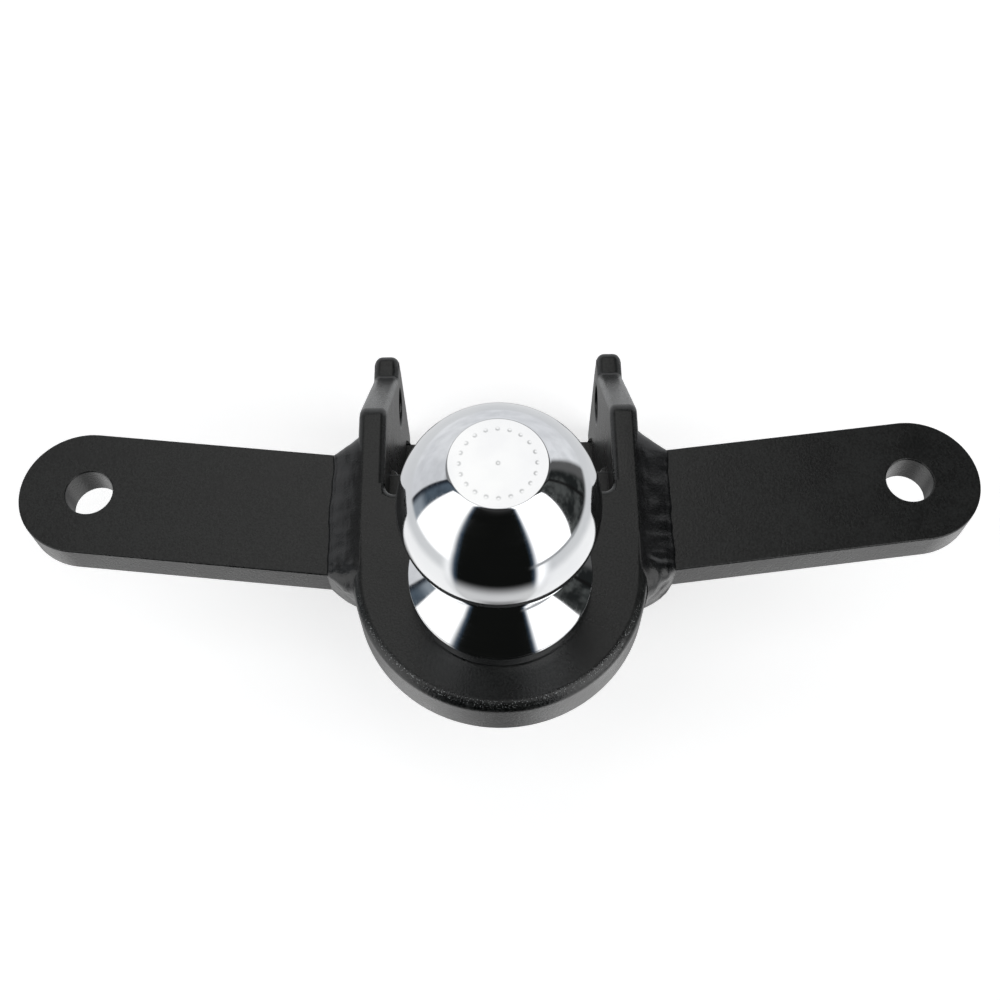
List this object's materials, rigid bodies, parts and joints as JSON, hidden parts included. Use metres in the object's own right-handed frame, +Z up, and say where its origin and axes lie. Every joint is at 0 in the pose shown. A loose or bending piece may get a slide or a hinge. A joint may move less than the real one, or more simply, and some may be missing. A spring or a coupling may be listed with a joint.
{
  "type": "trailer hitch with ball",
  "caption": "Welded drop ball mount that pins over a drawbar, with a chrome hitch ball bolted through its round platform and a swept, drilled tie bar on each side.",
  "frame": {"origin": "middle of the drawbar pin's axis, halfway between the two cheek plates", "axes": "+X towards the right tie bar, +Y back towards the towing vehicle, +Z up along the ball's axis"},
  "size_m": [0.3242, 0.1563, 0.1861],
  "materials": {
    "ball_chrome": "polished chrome plate",
    "fastener_steel": "dull zinc plate",
    "frame_coat": "black satin powder coat",
    "weld_coat": "black satin powder coat over weld beads"
  },
  "bodies": {
    "hitch": {"hitch_ball": "ball_chrome", "ball_platform": "frame_coat", "front_web": "frame_coat", "floor_plate": "frame_coat", "left_cheek_plate": "frame_coat", "right_cheek_plate": "frame_coat", "left_tie_bar": "frame_coat", "right_tie_bar": "frame_coat", "left_bar_top_weld": "weld_coat", "left_bar_bottom_weld": "weld_coat", "left_bar_front_weld": "weld_coat", "left_bar_rear_weld": "weld_coat", "right_bar_top_weld": "weld_coat", "right_bar_bottom_weld": "weld_coat", "right_bar_front_weld": "weld_coat", "right_bar_rear_weld": "weld_coat", "left_web_weld": "weld_coat", "right_web_weld": "weld_coat", "left_floor_rear_weld": "weld_coat", "right_floor_rear_weld": "weld_coat", "left_floor_bottom_weld": "weld_coat", "right_floor_bottom_weld": "weld_coat", "left_platform_weld": "weld_coat", "right_platform_weld": "weld_coat"},
    "washer": {"lock_washer": "fastener_steel"},
    "nut": {"ball_nut": "fastener_steel"}
  },
  "joints": [
    {"name": "washer_drop", "type": "slide", "parent": "hitch", "child": "washer", "axis": [0, 0, -1], "range_m": [0, 0.0146]},
    {"name": "nut_turn", "type": "hinge", "parent": "washer", "child": "nut", "pos_m": [0, -0.097, 0], "axis": [0, 0, -1], "range_deg": [0, 1440]}
  ],
  "couplings": [
    {"joint": "washer_drop", "follows": "nut_turn", "m_per_rad": 0.00057757}
  ]
}
